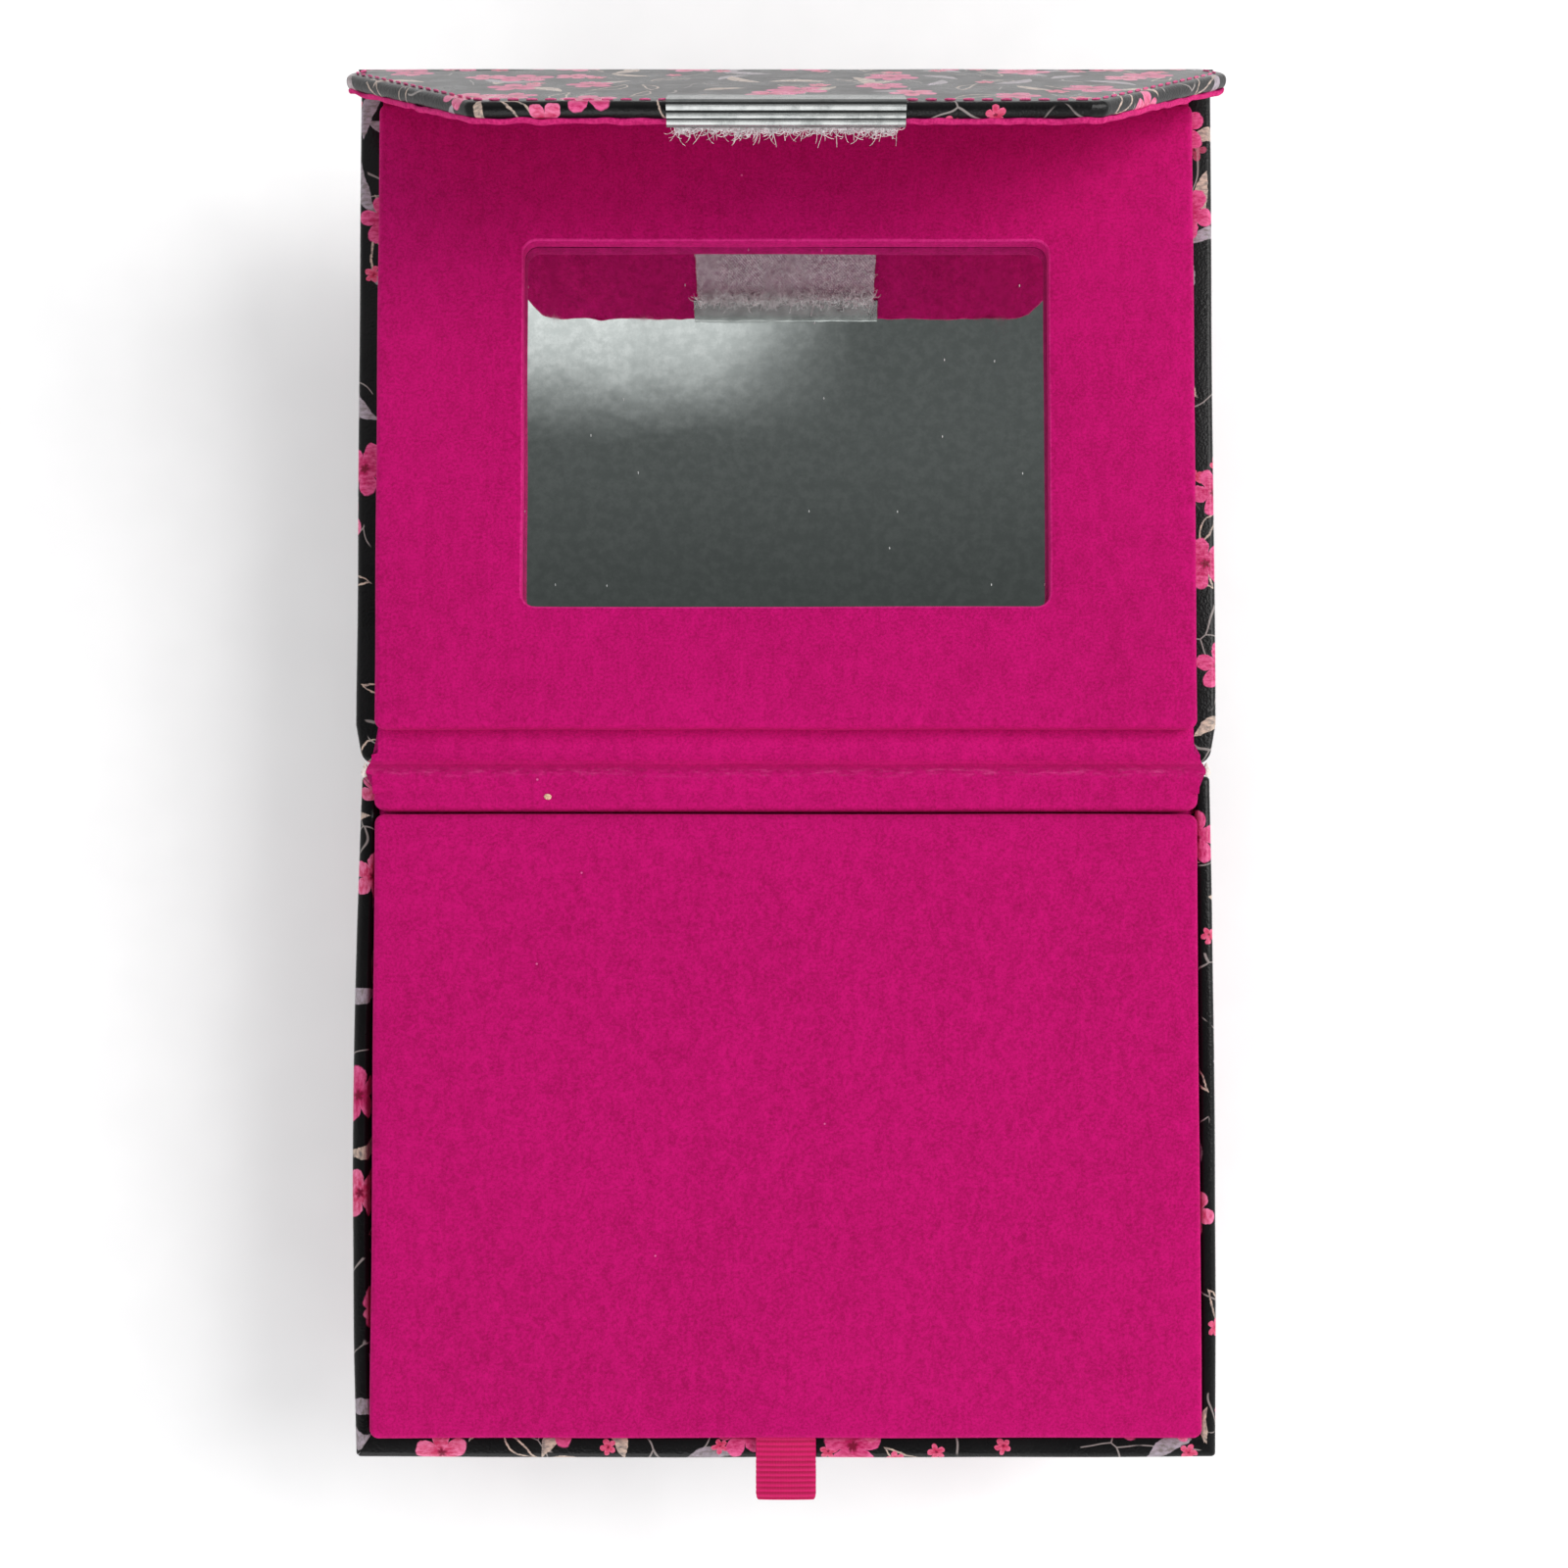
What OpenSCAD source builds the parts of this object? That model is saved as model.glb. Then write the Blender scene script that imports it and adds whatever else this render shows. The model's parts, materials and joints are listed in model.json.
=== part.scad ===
// Fabric-lined jewelry box with a fold-back lid, a closing flap and a hinged inner lid.
// The box is drawn with its lid laid open. X is the width, Y runs from front to back, Z is up.
// The origin is the centre of the base's underside.

/* [Base] */
// Outer width of the base
box_w = 180; // [150:1:220]
// Outer depth of the base
box_d = 143; // [125:1:180]
// Height of the front and side rims
rim_h = 53; // [45:1:70]
// Thickness of a side wall with its covering
wall_t = 3.2; // [2.6:0.1:4]
// Thickness of the front wall with its covering
front_t = 4.6; // [3.6:0.1:5.6]
// Thickness of the bottom board
bottom_t = 3; // [2:0.5:4]
// Thickness of the paper sheet under the base
sheet_t = 0.4; // [0.3:0.1:0.8]
// Thickness of the velvet-covered lining boards and dividers
liner_t = 1.6; // [1.2:0.1:2.4]
// Thickness of the floor pad
floor_pad_t = 2; // [1:0.5:3]
// Width of the velvet roll over the back wall
roll_w = 7.9; // [6:0.1:10]

/* [Inner lid] */
// Thickness of the inner lid panel
panel_t = 5.5; // [4:0.5:7]
// How far the inner lid stands above the rims
panel_rise = 4; // [3:0.5:5]
// Corner radius of the velvet-wrapped panels
panel_r = 2; // [1:0.5:4]
// Width of the ribbon pull
ribbon_w = 12.4; // [10:0.2:16]
// Thickness of the folded ribbon
ribbon_t = 1; // [0.8:0.1:1.2]
// How far the ribbon pull sticks out past the front wall
ribbon_out = 8; // [6:0.5:12]

/* [Lid] */
// How far the lid and the flap stand out past each side wall
lid_overhang = 1.5; // [0:0.5:2]
// Thickness of the lid's cover board
board_t = 3.5; // [3:0.1:4.5]
// Thickness of the raised velvet pad
pad_t = 5; // [4:0.5:6]
// Width of the pad
pad_w = 172.4; // [140:0.1:180]
// Width of the mirror window
window_w = 110.6; // [80:0.2:120]
// Length of the mirror window
window_l = 77.6; // [60:0.2:90]
// Distance from the pad's rear edge to the window
window_y = 25.6; // [20:0.1:30]
// Corner radius of the mirror window
window_r = 2.8; // [2:0.1:5]
// Thickness of the mirror glass
mirror_t = 1.3; // [1:0.1:2]

/* [Spine] */
// Length of the limp strip between its two creases
spine_l = 5; // [4:0.5:6]
// How steeply the strip hangs when the lid lies open
spine_drop = 60; // [50:1:65]
// Thickness of the spine and crease strips
strip_t = 0.8; // [0.6:0.1:1]

/* [Flap] */
// Length of the flap from its crease to its front edge
flap_l = 57; // [45:1:58]
// Thickness of the flap board with its covering
flap_t = 3; // [2.5:0.1:3.5]
// Thickness of the flap's velvet lining
lining_t = 0.8; // [0.6:0.1:1]
// Width of the flap's front edge
flap_tip_w = 114; // [90:1:130]
// How far the flap leans in over the lid
flap_lean = 36; // [30:1:40]
// Width of the metal edge clip
clip_w = 44; // [40:1:60]
// Depth of the metal edge clip
clip_d = 5.6; // [4:0.2:8]
// Width of the hook and loop patches
patch_w = 42; // [30:1:50]
// Length of the hook and loop patches
patch_l = 17; // [12:1:20]
// Thickness of each patch
patch_t = 0.7; // [0.5:0.1:0.8]

/* [Inside] */
// Depth of the rear row of compartments
rear_row_d = 68; // [55:1:75]
// Width of the middle compartment
middle_w = 56; // [40:1:70]
// Number of foam ring rolls
roll_count = 5; // [4:1:5]
// Diameter of a ring roll
ring_roll_d = 10; // [9:0.5:10.5]

/* [Hidden] */
$fn = 48;
// Clearance between pieces of different bodies
gap = 0.3;
half_w = box_w / 2;
half_d = box_d / 2;
lid_half_w = half_w + lid_overhang;
inner_w = box_w - 2 * wall_t;
front_in = -half_d + front_t;
back_in = half_d - wall_t;
floor_z = sheet_t + bottom_t;
// Inner lid
panel_top = rim_h + panel_rise;
panel_z = panel_top - panel_t;
panel_gap = 0.5;
panel_front = front_in + panel_gap;
panel_rear = half_d - roll_w - panel_gap;
panel_side_gap = 0.6;
panel_w = inner_w - 2 * panel_side_gap;
under_t = 0.5;
under_inset = 1.5;
carry_z = panel_z - gap;
ribbon_z = rim_h + gap + ribbon_t / 2;
ribbon_gap = 0.4;
ribbon_fold_y = -half_d - ribbon_gap - ribbon_t / 2;
// Spine: the lower crease is on the back wall's top, the upper one on the lid board's rear edge
crease_y = half_d + strip_t / 2;
crease_z = panel_top + gap;
strip_start = 0.5;
spine_inset = 0.6;
lid_y = crease_y + spine_l * cos(spine_drop);
lid_z = crease_z - spine_l * sin(spine_drop);
// Flap: its inner face hangs this far in front of the front wall when the box is shut
tape_gap = 0.5;
shut_gap = 2 * patch_t + tape_gap;
flap_all_t = flap_t + lining_t;
flap_y = lid_y + crease_y + half_d + shut_gap + flap_all_t / 2;
crease_rise = 0.4;
flap_z = lid_z + crease_rise;
flap_root = 2;
flap_full = 12;
corner_cut = 2;
corner_rise = 1.2;
lining_inset = 0.8;
clip_wall = 0.5;
patch_gap = 0.4;
crease_inset = 1;
lid_l = flap_y - strip_t / 2 - gap - lid_y;
pad_rear_margin = 6.4;
pad_front_margin = 7;
pad_y = lid_y + pad_rear_margin;
pad_l = lid_l - pad_rear_margin - pad_front_margin;
rebate = 5;
backing_t = 0.3;
backing_inset = 0.8;
rebate_h = backing_t + mirror_t + gap;
board_r = 1;
hinge_lining_t = 0.5;
hinge_lining_start = 0.8;
// Base details
sheet_inset = 2;
sheet_r = 1;
roll_r = 1.8;
cut = 1;
// Inside
row_y = panel_rear - rear_row_d;
ring_gap = 0.2;
ring_w = inner_w / 2 - 1.5 * liner_t - 2 * ring_gap;
ring_pitch = (row_y - liner_t / 2 - front_in - liner_t) / roll_count;
foam_h = 22;
divider_h = 34;

// A plate with round corners, centred on X and growing from the origin along +Y and +Z
module plate(w, l, h, r) {
    linear_extrude(h) rounded(w, l, r);
}

module rounded(w, l, r) {
    translate([-w / 2 + r, 0]) square([w - 2 * r, l]);
    translate([-w / 2, r]) square([w, l - 2 * r]);
    for (x = [-w / 2 + r, w / 2 - r], y = [r, l - r]) translate([x, y]) circle(r);
}

// A block from one corner to the opposite one
module block(low, high) {
    translate(low) cube(high - low);
}

// Puts a piece drawn on the upright flap, along +Z from its crease, where the leaning flap is
module on_flap() {
    translate([0, flap_y, flap_z]) rotate([flap_lean, 0, 0]) children();
}

// Puts a piece drawn along +Y from the lower crease where the hanging spine strip is
module on_spine() {
    translate([0, crease_y, crease_z]) rotate([-spine_drop, 0, 0]) children();
}

// ---- Base ----

module underside_sheet() {
    color("#2a2a2b")
    translate([0, -half_d + sheet_inset, 0])
        plate(box_w - 2 * sheet_inset, box_d - 2 * sheet_inset, sheet_t, sheet_r);
}

module bottom_board() {
    color("#8a8378")
    block([-inner_w / 2, front_in, sheet_t], [inner_w / 2, back_in, floor_z]);
}

module front_wall() {
    color("#262626")
    block([-half_w, -half_d, sheet_t], [half_w, front_in, rim_h]);
}

module back_wall() {
    color("#262626")
    block([-half_w, back_in, sheet_t], [half_w, half_d, rim_h]);
}

module side_wall(side) {
    color("#262626")
    mirror([side < 0 ? 1 : 0, 0, 0])
        block([inner_w / 2, front_in, sheet_t], [half_w, back_in, rim_h]);
}

module left_wall() {
    side_wall(-1);
}

module right_wall() {
    side_wall(1);
}

module front_liner() {
    color("#c01a70")
    block([-inner_w / 2, front_in, floor_z], [inner_w / 2, front_in + liner_t, carry_z]);
}

module side_liner(side) {
    color("#c01a70")
    mirror([side < 0 ? 1 : 0, 0, 0])
        block([inner_w / 2 - liner_t, front_in + liner_t, floor_z], [inner_w / 2, panel_rear, carry_z]);
}

module left_liner() {
    side_liner(-1);
}

module right_liner() {
    side_liner(1);
}

module rear_ledge() {
    color("#c01a70")
    block([-inner_w / 2, panel_rear, floor_z], [inner_w / 2, back_in, carry_z]);
}

module floor_pad() {
    color("#c01a70")
    block([-inner_w / 2 + liner_t, front_in + liner_t, floor_z],
          [inner_w / 2 - liner_t, panel_rear, floor_z + floor_pad_t]);
}

module divider(low, high) {
    color("#b81869")
    block([low.x, low.y, floor_z + floor_pad_t], [high.x, high.y, floor_z + floor_pad_t + divider_h]);
}

module long_divider() {
    divider([-inner_w / 2 + liner_t, row_y - liner_t / 2], [inner_w / 2 - liner_t, row_y + liner_t / 2]);
}

module rear_divider(side) {
    divider([side * middle_w / 2 - liner_t / 2, row_y + liner_t / 2],
            [side * middle_w / 2 + liner_t / 2, panel_rear]);
}

module rear_left_divider() {
    rear_divider(-1);
}

module rear_right_divider() {
    rear_divider(1);
}

module front_divider() {
    divider([-liner_t / 2, front_in + liner_t], [liner_t / 2, row_y - liner_t / 2]);
}

// The foam block under the ring rolls, in the front left compartment
module ring_foam() {
    color("#a51560")
    block([-inner_w / 2 + liner_t, front_in + liner_t, floor_z + floor_pad_t],
          [-liner_t / 2, row_y - liner_t / 2, floor_z + floor_pad_t + foam_h]);
}

module ring_rolls() {
    color("#c01a70")
    for (i = [0 : roll_count - 1])
        translate([-inner_w / 2 + liner_t + ring_gap,
                   front_in + liner_t + (i + 0.5) * ring_pitch,
                   floor_z + floor_pad_t + foam_h + ring_roll_d / 2])
            rotate([0, 90, 0]) cylinder(d = ring_roll_d, h = ring_w);
}

// The velvet-covered roll along the top of the back wall and the ledge in front of it
module hinge_roll() {
    color("#c41c76")
    translate([-inner_w / 2, half_d - roll_w, 0]) rotate([90, 0, 90])
        linear_extrude(inner_w) {
            translate([0, carry_z]) square([roll_w - wall_t, rim_h - carry_z]);
            translate([0, rim_h]) square([roll_w, panel_rise - roll_r]);
            translate([roll_r, rim_h]) square([roll_w - 2 * roll_r, panel_rise]);
            for (y = [roll_r, roll_w - roll_r]) translate([y, panel_top - roll_r]) circle(roll_r);
        }
}

// Placed where the flap's patch comes to rest when the box is shut
module hook_patch() {
    low_z = crease_z + spine_l - crease_rise - flap_l + clip_d + patch_gap;
    color("#e4dfe0")
    block([-patch_w / 2, -half_d - patch_t, low_z], [patch_w / 2, -half_d, low_z + patch_l]);
}

// ---- Inner lid ----

module inner_lid() {
    color("#c41a70")
    translate([0, panel_front, panel_z + under_t])
        plate(panel_w, panel_rear - panel_front, panel_t - under_t, panel_r);
}

module inner_lid_backing() {
    color("#8f1450")
    translate([0, panel_front + under_inset, panel_z])
        plate(panel_w - 2 * under_inset, panel_rear - panel_front - 2 * under_inset, under_t, panel_r);
}

module ribbon_anchor() {
    color("#c80a58")
    block([-ribbon_w / 2, ribbon_fold_y + ribbon_t / 2 + gap, ribbon_z - ribbon_t / 2],
          [ribbon_w / 2, panel_front, ribbon_z + ribbon_t / 2]);
}

// The folded end of the ribbon: a round nose where the ribbon turns back under itself
module ribbon_loop() {
    reach = half_d + ribbon_out + ribbon_fold_y;
    color("#c80a58")
    translate([0, ribbon_fold_y, ribbon_z]) {
        block([-ribbon_w / 2, -reach + ribbon_t / 2, -ribbon_t / 2], [ribbon_w / 2, -gap, ribbon_t / 2]);
        translate([-ribbon_w / 2, -reach + ribbon_t / 2, 0]) rotate([0, 90, 0])
            cylinder(d = ribbon_t, h = ribbon_w);
    }
}

// ---- Spine ----

module spine_cover() {
    color("#262626")
    on_spine() block([-half_w + spine_inset, strip_start, -strip_t / 2],
                     [half_w - spine_inset, spine_l - gap, 0]);
}

module spine_lining() {
    color("#a01860")
    on_spine() block([-inner_w / 2, strip_start, 0], [inner_w / 2, spine_l - gap, strip_t / 2]);
}

// ---- Lid ----

module lid_board() {
    color("#262626")
    translate([0, lid_y, lid_z - board_t]) plate(2 * lid_half_w, lid_l, board_t, board_r);
}

module lid_pad() {
    color("#b01566")
    translate([0, pad_y, lid_z]) difference() {
        plate(pad_w, pad_l, pad_t, panel_r);
        translate([0, window_y, -cut]) plate(window_w, window_l, pad_t + 2 * cut, window_r);
        translate([0, window_y - rebate, -cut])
            plate(window_w + 2 * rebate, window_l + 2 * rebate, cut + rebate_h, board_r);
    }
}

module mirror_glass() {
    glass_inset = rebate - gap;
    color("#b8bcc0")
    translate([0, pad_y + window_y - glass_inset, lid_z + backing_t])
        plate(window_w + 2 * glass_inset, window_l + 2 * glass_inset, mirror_t, board_r);
}

module mirror_backing() {
    reach = rebate - backing_inset;
    color("#4a4a4c")
    translate([0, pad_y + window_y - reach, lid_z])
        plate(window_w + 2 * reach, window_l + 2 * reach, backing_t, board_r);
}

// The velvet strip on the lid board between its rear crease and the pad
module lid_hinge_lining() {
    color("#a01860")
    block([-pad_w / 2, lid_y + hinge_lining_start, lid_z], [pad_w / 2, pad_y, lid_z + hinge_lining_t]);
}

// ---- Flap ----

module flap_crease() {
    color("#262626")
    block([-lid_half_w + crease_inset, flap_y - strip_t / 2, lid_z - board_t + strip_start],
          [lid_half_w - crease_inset, flap_y + strip_t / 2, flap_z - gap]);
}

// The flap's outline: full width at the crease, then straight chamfers to the narrower front edge
module flap_outline(inset) {
    w = lid_half_w - inset;
    t = flap_tip_w / 2 - inset / 2;
    top = flap_l - inset;
    polygon([[-w, flap_root], [w, flap_root], [w, flap_full],
             [t + corner_cut, top - corner_rise], [t - corner_cut / 2, top],
             [corner_cut / 2 - t, top], [-t - corner_cut, top - corner_rise], [-w, flap_full]]);
}

module flap_board() {
    color("#2a2a2a")
    on_flap() translate([0, flap_all_t / 2, 0]) rotate([90, 0, 0])
        linear_extrude(flap_t) flap_outline(0);
}

module flap_lining() {
    color("#c01a70")
    on_flap() translate([0, flap_all_t / 2 - flap_t, 0]) rotate([90, 0, 0])
        linear_extrude(lining_t) flap_outline(lining_inset);
}

// The U-shaped metal clip over the middle of the flap's front edge
module edge_clip() {
    outer = flap_all_t / 2 + clip_wall;
    low = flap_l - clip_d;
    color("#d8d8da")
    on_flap() difference() {
        block([-clip_w / 2, -outer, low], [clip_w / 2, outer, flap_l + clip_wall]);
        block([-clip_w / 2 - cut, -flap_all_t / 2, low - cut], [clip_w / 2 + cut, flap_all_t / 2, flap_l]);
    }
}

module loop_patch() {
    high = flap_l - clip_d - patch_gap;
    color("#e8dfe2")
    on_flap() block([-patch_w / 2, -flap_all_t / 2 - patch_t, high - patch_l],
                    [patch_w / 2, -flap_all_t / 2, high]);
}

underside_sheet();
bottom_board();
front_wall();
back_wall();
left_wall();
right_wall();
front_liner();
left_liner();
right_liner();
rear_ledge();
floor_pad();
long_divider();
rear_left_divider();
rear_right_divider();
front_divider();
ring_foam();
ring_rolls();
hinge_roll();
hook_patch();
inner_lid();
inner_lid_backing();
ribbon_anchor();
ribbon_loop();
spine_cover();
spine_lining();
lid_board();
lid_pad();
mirror_glass();
mirror_backing();
lid_hinge_lining();
flap_crease();
flap_board();
flap_lining();
edge_clip();
loop_patch();
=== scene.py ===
import math
import random
from math import cos, pi, sin

import bpy
from mathutils import Matrix, Vector, noise
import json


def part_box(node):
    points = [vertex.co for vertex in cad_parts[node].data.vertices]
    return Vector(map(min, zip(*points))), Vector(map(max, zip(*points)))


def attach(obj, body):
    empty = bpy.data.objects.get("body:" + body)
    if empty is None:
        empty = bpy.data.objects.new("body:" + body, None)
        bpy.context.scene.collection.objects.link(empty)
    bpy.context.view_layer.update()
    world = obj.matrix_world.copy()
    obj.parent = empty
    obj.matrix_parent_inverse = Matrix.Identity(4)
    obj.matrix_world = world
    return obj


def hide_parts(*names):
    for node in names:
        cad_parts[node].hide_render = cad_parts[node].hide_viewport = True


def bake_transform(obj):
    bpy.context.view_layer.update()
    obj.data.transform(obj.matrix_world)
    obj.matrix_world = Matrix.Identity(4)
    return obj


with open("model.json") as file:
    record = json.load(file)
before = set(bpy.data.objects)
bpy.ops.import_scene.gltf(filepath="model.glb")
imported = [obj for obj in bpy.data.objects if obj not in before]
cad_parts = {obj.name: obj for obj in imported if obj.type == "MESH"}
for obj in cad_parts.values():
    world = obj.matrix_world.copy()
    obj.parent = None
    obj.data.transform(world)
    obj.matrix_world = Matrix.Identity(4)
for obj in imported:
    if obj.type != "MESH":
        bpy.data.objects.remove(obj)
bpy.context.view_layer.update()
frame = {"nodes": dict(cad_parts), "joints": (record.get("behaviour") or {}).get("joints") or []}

noise.seed_set(4)  # noise_vector differs from run to run without it
MM = 0.001
PRINT_UNIT = 0.01  # one unit of the "sheet" UV map, in metres
RIB_PITCH = 1.06 * MM  # of the grosgrain ribbon
WEAVE = 9000.0  # of the tape's ground, in radians per metre: a thread every 0.7 mm
scene = bpy.context.scene
nodes = frame["nodes"]
joints = {j["name"]: j for j in frame["joints"]}


def joint_at(name):
    return Vector(joints[name]["pos_m"])


crease_low = joint_at("spine_lower_crease")
crease_high = joint_at("spine_upper_crease")
strip_dir = (crease_high - crease_low).normalized()
fold_low = joint_at("flap_strip_crease")
fold_high = joint_at("flap_crease_fold")
ribbon_fold = joint_at("ribbon_fold")
flap_lean = math.radians(-joints["flap_crease_fold"]["range_deg"][0])
flap_frame = Matrix.Translation(fold_high) @ Matrix.Rotation(flap_lean, 4, "X")


# ---- materials

def rgb(r, g, b):
    """A display colour from 0 to 255 as a linear one."""
    def linear(c):
        c /= 255
        return c / 12.92 if c <= 0.04045 else ((c + 0.055) / 1.055) ** 2.4
    return (linear(r), linear(g), linear(b), 1.0)


class Nodes:
    """An empty node tree, and short calls that add its nodes."""

    def __init__(self, tree):
        self.tree = tree
        tree.nodes.clear()

    def put(self, value, socket):
        if isinstance(value, bpy.types.NodeSocket):
            self.tree.links.new(value, socket)
        elif value is not None:
            socket.default_value = value

    def add(self, kind, *values, **props):
        node = self.tree.nodes.new("ShaderNode" + kind)
        for key, value in props.items():
            setattr(node, key, value)
        for socket, value in zip(node.inputs, values):
            self.put(value, socket)
        return node

    def math(self, operation, a, b=None, c=None):
        return self.add("Math", a, b, c, operation=operation).outputs[0]

    def times(self, a, b):
        return self.math("MULTIPLY", a, b)

    def scaled(self, a, b, c):
        return self.math("MULTIPLY_ADD", a, b, c)

    def vector(self, operation, a, b=None, scale=None):
        node = self.add("VectorMath", a, b, operation=operation)
        self.put(scale, node.inputs[3])
        return node.outputs["Value" if operation in ("LENGTH", "DISTANCE") else "Vector"]

    def split(self, vector):
        return list(self.add("SeparateXYZ", vector).outputs)

    def step(self, value, low, high):
        node = self.add("MapRange", value, low, high, 0.0, 1.0, interpolation_type="SMOOTHSTEP")
        return node.outputs[0]

    def mix(self, factor, a, b):
        node = self.tree.nodes.new("ShaderNodeMix")
        node.data_type = "RGBA"
        for value, i in ((factor, 0), (a, 6), (b, 7)):
            self.put(value, node.inputs[i])
        return node.outputs[2]

    def noise(self, where, size, detail=2.0, roughness=0.5, output="Fac"):
        node = self.add("TexNoise")
        self.put(where, node.inputs["Vector"])
        for socket, value in (("Scale", 1 / size), ("Detail", detail), ("Roughness", roughness)):
            node.inputs[socket].default_value = value
        return node.outputs[output]


class Paint(Nodes):
    """A material with a Principled shader."""

    def __init__(self, name, **constants):
        self.material = bpy.data.materials.new(name)
        self.material.use_nodes = True
        super().__init__(self.material.node_tree)
        self.shader = self.add("BsdfPrincipled")
        self.add("OutputMaterial", self.shader.outputs[0])
        for socket, value in constants.items():
            self.shader.inputs[socket.replace("_", " ")].default_value = value

    def place(self):
        return self.add("TexCoord").outputs["Object"]

    def sheet(self):
        return self.add("UVMap", uv_map="sheet").outputs[0]

    def cells(self, where, size, feature="F1", randomness=1.0, flat=True):
        node = self.add("TexVoronoi", voronoi_dimensions="2D" if flat else "3D", feature=feature)
        self.put(where, node.inputs["Vector"])
        node.inputs["Scale"].default_value = 1 / size
        node.inputs["Randomness"].default_value = randomness
        return node

    def stretch(self, where, x, y, z):
        return self.vector("MULTIPLY", where, (x, y, z))

    def bump(self, height, distance, strength, under=None):
        node = self.add("Bump")
        node.inputs["Strength"].default_value = strength
        node.inputs["Distance"].default_value = distance
        self.put(height, node.inputs["Height"])
        self.put(under, node.inputs["Normal"])
        return node.outputs[0]

    def finish(self, colour, roughness=None, normal=None):
        for name, value in (("Base Color", colour), ("Roughness", roughness), ("Normal", normal)):
            self.put(value, self.shader.inputs[name])
        return self.material


def motif(p, at, size, shift, randomness=0.7):
    """The point's place in its cell's own turned frame, and three numbers that are random in each cell."""
    moved = p.vector("ADD", at, (shift, shift * 1.7, 0))
    cell = p.cells(moved, size, randomness=randomness)
    pick = p.split(cell.outputs["Color"])
    local = p.vector("SUBTRACT", moved, cell.outputs["Position"])
    turned = p.add("VectorRotate", rotation_type="Z_AXIS")
    p.put(local, turned.inputs["Vector"])
    p.put(p.times(pick[0], 2 * pi), turned.inputs["Angle"])
    return turned.outputs[0], pick


def flower(p, at, size, radius, shift, share):
    """(mask, distance from the middle) of flowers with five petals on some of the cells."""
    local, pick = motif(p, at, size, shift, 0.62)
    x, y, _ = p.split(local)
    lobe = p.math("ABSOLUTE", p.math("COSINE", p.times(p.math("ARCTAN2", y, x), 2.5)))
    lobe = p.math("POWER", lobe, 0.55)
    reach = p.times(p.scaled(pick[1], 0.35 * radius, 0.8 * radius), p.scaled(lobe, 0.66, 0.36))
    far = p.math("DIVIDE", p.vector("LENGTH", local), reach)
    inside = p.step(far, 1.0, 0.93)
    return p.times(inside, p.step(pick[2], 1 - share, 1 - share + 0.01)), far


def leaf(p, at, size, length, width, shift, share):
    """(filled mask, outline mask, a number for each leaf) of lens-shaped leaves on some of the cells."""
    local, pick = motif(p, at, size, shift)
    x, y, _ = p.split(local)
    bent = p.math("ADD", y, p.times(p.times(x, x), 0.5))
    along = p.math("DIVIDE", x, length)
    edge = p.times(p.math("SUBTRACT", 1.0, p.times(along, along)), width)
    depth = p.math("SUBTRACT", edge, p.math("ABSOLUTE", bent))
    kept = p.step(pick[2], 1 - share, 1 - share + 0.01)
    filled = p.times(p.step(depth, 0.0, 0.02), kept)
    line = p.times(p.step(p.math("ABSOLUTE", depth), 0.028, 0.012), kept)
    return filled, line, pick[1]


def make_print_cover():
    p = Paint("print_cover", Specular_IOR_Level=0.17)
    sheet = p.sheet()
    wobble = p.vector("SUBTRACT", p.noise(sheet, 0.3, 3, 0.6, "Color"), (0.5, 0.5, 0.5))
    at = p.vector("ADD", sheet, p.vector("SCALE", wobble, scale=0.13))
    brush = p.noise(p.stretch(sheet, 1.0, 2.2, 1.0), 0.16, 4, 0.65)
    colour = p.mix(p.noise(sheet, 1.2), rgb(10, 10, 11), rgb(24, 24, 25))
    # Thin stems: parts of a net of curved lines
    swirl = p.vector("ADD", sheet, p.vector("SCALE", p.noise(sheet, 1.4, 1, 0.5, "Color"), scale=1.3))
    net = p.cells(swirl, 1.5, "DISTANCE_TO_EDGE").outputs["Distance"]
    stem = p.times(p.step(net, 0.018, 0.006), p.step(p.noise(sheet, 1.1), 0.53, 0.56))
    colour = p.mix(stem, colour, rgb(140, 132, 130))
    for size, length, width, shift, share in ((1.15, 0.44, 0.12, 3.1, 0.55), (1.6, 0.56, 0.15, 17.3, 0.6)):
        filled, line, which = leaf(p, at, size, length, width, shift, share)
        solid = p.step(which, 0.45, 0.46)
        tone = p.mix(p.step(which, 0.7, 0.72), rgb(206, 182, 166), rgb(168, 156, 168))
        tone = p.mix(p.step(brush, 0.35, 0.7), tone, rgb(120, 112, 110))
        colour = p.mix(p.times(filled, solid), colour, tone)
        colour = p.mix(line, colour, tone)
    for size, radius, shift, share, deep, pale in (
            (1.1, 0.22, 41.0, 0.35, rgb(190, 44, 84), rgb(222, 100, 138)),
            (1.9, 0.56, 7.7, 0.62, rgb(180, 30, 90), rgb(222, 92, 146)),
            (2.2, 0.52, 29.9, 0.45, rgb(192, 46, 92), rgb(230, 122, 164))):
        mask, far = flower(p, at, size, radius, shift, share)
        petal = p.mix(p.step(p.math("ADD", brush, p.times(far, 0.25)), 0.45, 0.85), deep, pale)
        petal = p.mix(p.step(far, 0.25, 0.1), petal, rgb(122, 20, 52))
        colour = p.mix(mask, colour, petal)
    # Leatherette: fine pebbles, soft creases, and dull scuffs
    place = p.place()
    pebble = p.cells(place, 0.00042, "SMOOTH_F1", flat=False).outputs["Distance"]
    crease = p.noise(p.stretch(place, 1.0, 1.0, 0.6), 0.0035, 3, 0.6)
    normal = p.bump(pebble, 0.00009, 0.55)
    normal = p.bump(crease, 0.0004, 0.22, normal)
    scuff = p.step(p.noise(place, 0.0016, 5, 0.75), 0.66, 0.8)
    colour = p.mix(p.times(scuff, 0.2), colour, rgb(150, 146, 144))
    shine = p.scaled(p.noise(place, 0.006, 3), 0.18, 0.2)
    return p.finish(colour, shine, normal)


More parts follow.
